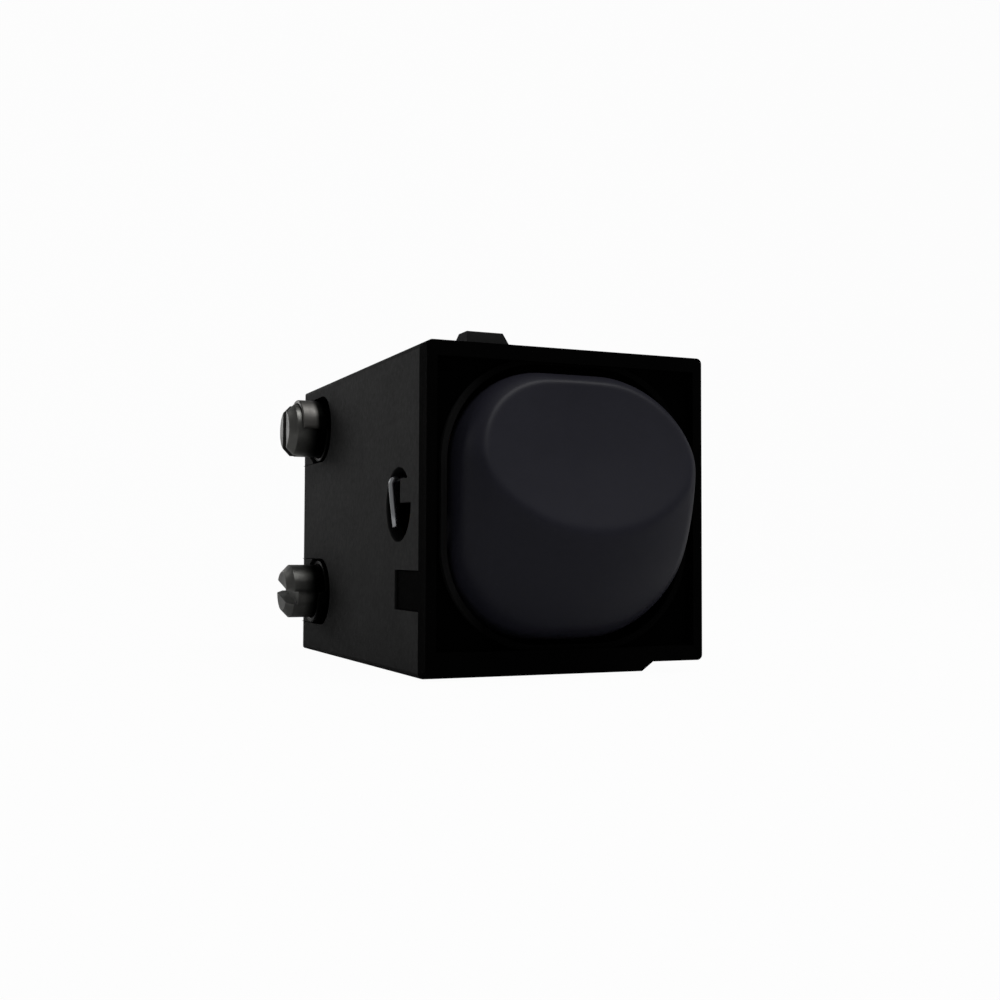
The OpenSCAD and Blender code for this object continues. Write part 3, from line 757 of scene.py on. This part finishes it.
def rounded(path):
    """A path with each bend cut by a smooth curve."""
    path = np.asarray(path, float)
    out = [path[0]]
    for a, b, c in zip(path, path[1:], path[2:]):
        p, q = b + (a - b) * BEND_SHARE, b + (c - b) * BEND_SHARE
        for t in np.linspace(0, 1, BEND_STEPS):
            out.append((1 - t) ** 2 * p + 2 * t * (1 - t) * b + t**2 * q)
    out.append(path[-1])
    return np.array(out)


print("wire sides:", WIRE_SIDES, "points in each bend:", BEND_STEPS)


# %% The return spring
RETURN_WIRE, RETURN_TURNS, TURN_POINTS, SPRING_LEG = 0.22, 4, 40, 4.6
HOLE_R, HOLE_BACK = 2.65, 1.15
PIN_GAP, EAR_GAP, TURN_GAP = 0.35, 0.3, 0.1
coil_r = PIN_R + RETURN_WIRE + PIN_GAP
start_x = -EAR_IN + RETURN_WIRE + EAR_GAP
hook_x = -WALL_OUT - 0.05
hook_y = HOLE_BACK + HOLE_R - RETURN_WIRE - 1.05
hook_z = HOLE_R - RETURN_WIRE - 0.55
fixed_leg = [
    (hook_x, hook_y - 1, -hook_z + 0.3), (hook_x, hook_y - 0.45, 0), (hook_x, hook_y, hook_z - 0.3),
    (hook_x + 0.12, hook_y, hook_z - 0.08), (hook_x + 0.35, hook_y, hook_z),
    (start_x - 0.5, hook_y, hook_z), (start_x - 0.1, hook_y - 0.1, hook_z - 0.2),
    (start_x, hook_y - 0.5, hook_z - 0.6),
]
turned = np.linspace(0, 2 * math.pi * RETURN_TURNS, RETURN_TURNS * TURN_POINTS)
angles = np.radians(45) + turned
coil_x = start_x + (2 * RETURN_WIRE + TURN_GAP) * turned / (2 * math.pi)
coil = np.c_[coil_x, coil_r * np.cos(angles), coil_r * np.sin(angles)]
end_x = coil_x[-1] + 0.05
moving_leg = [(end_x, 0.2 * coil_r, 1.05 * coil_r), (end_x, -SPRING_LEG, 1.2 * coil_r)]
spring_path = np.vstack([rounded(fixed_leg), coil, moving_leg]) + np.array(PIVOT)
return_spring = sweep("return_spring_wire", spring_path, RETURN_WIRE)
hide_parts("return_spring")
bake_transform(return_spring)
print("return spring path points:", len(spring_path))

# %% The plunger's spring
PLUNGER_WIRE, PLUNGER_TURNS, PLUNGER_POINTS = 0.17, 7, 32
COIL_INSIDE, RECESS_END, END_GAP, SIDE_GAP = 1.15, 9.95, 0.05, 0.1
length = RECESS_END - BORE_FROM - 2 * PLUNGER_WIRE - 2 * END_GAP
angles = np.linspace(0, 2 * math.pi * PLUNGER_TURNS, PLUNGER_TURNS * PLUNGER_POINTS)
radius = COIL_INSIDE - PLUNGER_WIRE - SIDE_GAP
coil = np.c_[
    -radius * np.cos(angles),
    BORE_FROM + PLUNGER_WIRE + END_GAP + length * angles / angles[-1],
    radius * np.sin(angles),
]
plunger_spring = sweep("plunger_spring_wire", on_button(coil), PLUNGER_WIRE)
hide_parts("plunger_spring")
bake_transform(plunger_spring)
print("plunger spring length (mm):", round(length, 2))

# %% [markdown]
# A real case lets no light through the joints between its walls and the cover's tabs,
# because a trace of flash fills them. Without it a white hairline of backdrop shows
# beside the lower terminal. Eight thin leaves close them. A leaf is a plain four-sided
# plate, so its back corner stands 0.2 mm out of the case's rounded edge, and from
# behind it shows there as a small point.

# %% Flash in the cover's joints
UPPER_AXIS, LOWER_AXIS, SLOT_HALF = 7.2, -6.6, 2.775
LEAF_IN, LEAF_OUT, LEAF_FRONT, LEAF_BACK, LEAF_HALF = 9.3, 10.62, 31.0, 32.12, 0.023
JOINTS_Z = [axis + side * SLOT_HALF for axis in (UPPER_AXIS, LOWER_AXIS) for side in (1, -1)]
leaf_points, leaf_faces = [], []
for side in (-1, 1):
    near, far = side * LEAF_IN, side * LEAF_OUT
    ends = [(near, LEAF_FRONT), (far, LEAF_FRONT), (far, LEAF_BACK), (near, LEAF_BACK)]
    for z in JOINTS_Z:
        first = len(leaf_points)
        leaf_points += [(x, y, z + up) for up in (-LEAF_HALF, LEAF_HALF) for x, y in ends]
        ring = [[k, (k + 1) % 4, (k + 1) % 4 + 4, k + 4] for k in range(4)]
        for face in [[3, 2, 1, 0], [4, 5, 6, 7]] + ring:
            leaf_faces.append([first + k for k in (face if side > 0 else face[::-1])])
joint_flash = to_object("joint_flash", leaf_points, leaf_faces, smooth=False)
joint_flash.data.materials.append(case_polyamide)
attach(joint_flash, "case")
print("leaves of flash:", len(JOINTS_Z) * 2)

# %% [markdown]
# ## Room, light and camera
#
# The room is a pale sheet that curves up behind the object, so that nothing but the
# object has an edge in the photograph's view. Its measures are in metres. To the camera
# the sheet and the surround are white. To every other ray they are dimmer, so that they
# don't wash out the black case. The light is soft. A large panel high in front, a little to the
# right, gives the button its shape. A panel on the left and behind lights the side wall,
# and a small low one behind grazes that wall, so that the terminals shade it. A weak one
# on the right and the pale surround fill the rest. Their strengths were fitted to the
# levels in the photograph, one light at a time.

# %% Floor and backdrop
FLOOR_GAP = 0.05
FLOOR_Z = cad_box[0].z - FLOOR_GAP * MM
SHEET_FRONT, CURVE_FROM, CURVE_R, CURVE_STEPS = -0.6, 0.25, 0.15, 12
SHEET_HALF_W, SHEET_H = 1.2, 0.9
profile = [(SHEET_FRONT, FLOOR_Z)]
for a in np.radians(np.linspace(0, 90, CURVE_STEPS + 1)):
    profile.append((CURVE_FROM + CURVE_R * math.sin(a), FLOOR_Z + CURVE_R * (1 - math.cos(a))))
profile.append((CURVE_FROM + CURVE_R, FLOOR_Z + SHEET_H))
verts = [(x, y, z) for y, z in profile for x in (-SHEET_HALF_W, SHEET_HALF_W)]
faces = [(2 * i, 2 * i + 1, 2 * i + 3, 2 * i + 2) for i in range(len(profile) - 1)]
sheet_mesh = bpy.data.meshes.new("studio_sheet")
sheet_mesh.from_pydata(verts, [], faces)
sheet_mesh.polygons.foreach_set("use_smooth", [True] * len(sheet_mesh.polygons))
studio_sheet = bpy.data.objects.new("studio_sheet", sheet_mesh)
bpy.context.scene.collection.objects.link(studio_sheet)
WHITE_SHARE = 0.97
material, tree, place = start_material("white_paper")
lit = add(tree, "ShaderNodeBsdfDiffuse", Color=linear("#cfcfcf"))
glow = add(tree, "ShaderNodeEmission", Color=linear("#ffffff"), Strength=1.0)
path = add(tree, "ShaderNodeLightPath")
seen = add(
    tree, "ShaderNodeMath", {"operation": "MULTIPLY"},
    _0=path.outputs["Is Camera Ray"], _1=WHITE_SHARE,
)
mixed = add(
    tree, "ShaderNodeMixShader", Fac=seen.outputs[0], _1=lit.outputs[0], _2=glow.outputs[0]
)
finish_material(tree, mixed)
sheet_mesh.materials.append(material)
print("floor at", round(FLOOR_Z / MM, 2), "mm")


# %% Lights
MIDDLE_MM = (0, 15, 0)


def soft_light(name, place_mm, size_mm, watts):
    """A square area light that faces the part's middle."""
    data = bpy.data.lights.new(name, "AREA")
    data.shape = "SQUARE"
    data.size = size_mm * MM
    data.energy = watts
    lamp = bpy.data.objects.new(name, data)
    lamp.location = Vector(place_mm) * MM
    aim = Vector(MIDDLE_MM) * MM - lamp.location
    lamp.rotation_euler = aim.to_track_quat("-Z", "Y").to_euler()
    bpy.context.scene.collection.objects.link(lamp)


soft_light("top_panel", (75, -115, 360), 240, 0.79)
soft_light("rear_panel", (-250, 200, 195), 160, 0.05)
soft_light("grazing_panel", (-95, 280, 70), 80, 0.04)
soft_light("right_panel", (320, -60, 60), 200, 0.09)

# %% Pale surround
SURROUND, SEEN = 0.2, 1.0
world = bpy.data.worlds.new("pale_surround")
world.use_nodes = True
world.node_tree.nodes.clear()
tree = world.node_tree
path = add(tree, "ShaderNodeLightPath")
strength = add(
    tree, "ShaderNodeMix", {"data_type": "FLOAT"},
    Factor=path.outputs["Is Camera Ray"], A=SURROUND, B=SEEN,
)
background = add(
    tree, "ShaderNodeBackground", Color=linear("#ffffff"), Strength=strength.outputs["Result"]
)
add(tree, "ShaderNodeOutputWorld", Surface=background.outputs[0])
bpy.context.scene.world = world
bpy.context.scene.view_settings.view_transform = "Standard"
print("surround lights the part with", SURROUND, "of the white that the camera sees")

# %% [markdown]
# The camera's place came from the photograph's perspective: the body's corners fix
# where it stood, how long its lens was and how far it was turned.

# %% Camera
CAMERA_MM = (-39.77, -79.35, -3.35)
YAW, PITCH, ROLL = math.radians(23.44), math.radians(2.42), math.radians(0.19)
FOCAL_PX, PHOTO_PX, SENSOR_MM = 1272.3, 1000, 36.0
level = Vector((math.sin(YAW), math.cos(YAW), 0)) * math.cos(PITCH)
forward = level + Vector((0, 0, math.sin(PITCH)))
right = Vector((math.cos(YAW), -math.sin(YAW), 0))
up = right.cross(forward)
right_rolled = math.cos(ROLL) * right + math.sin(ROLL) * up
up_rolled = -math.sin(ROLL) * right + math.cos(ROLL) * up
camera_data = bpy.data.cameras.new("photo_view")
camera_data.sensor_width = SENSOR_MM
camera_data.lens = FOCAL_PX / PHOTO_PX * SENSOR_MM
camera_data.clip_start = 0.005
camera = bpy.data.objects.new("photo_view", camera_data)
turn = Matrix((right_rolled, up_rolled, -forward)).transposed().to_4x4()
camera.matrix_world = Matrix.Translation(Vector(CAMERA_MM) * MM) @ turn
bpy.context.scene.collection.objects.link(camera)
bpy.context.scene.camera = camera
print("lens (mm):", round(camera_data.lens, 2))
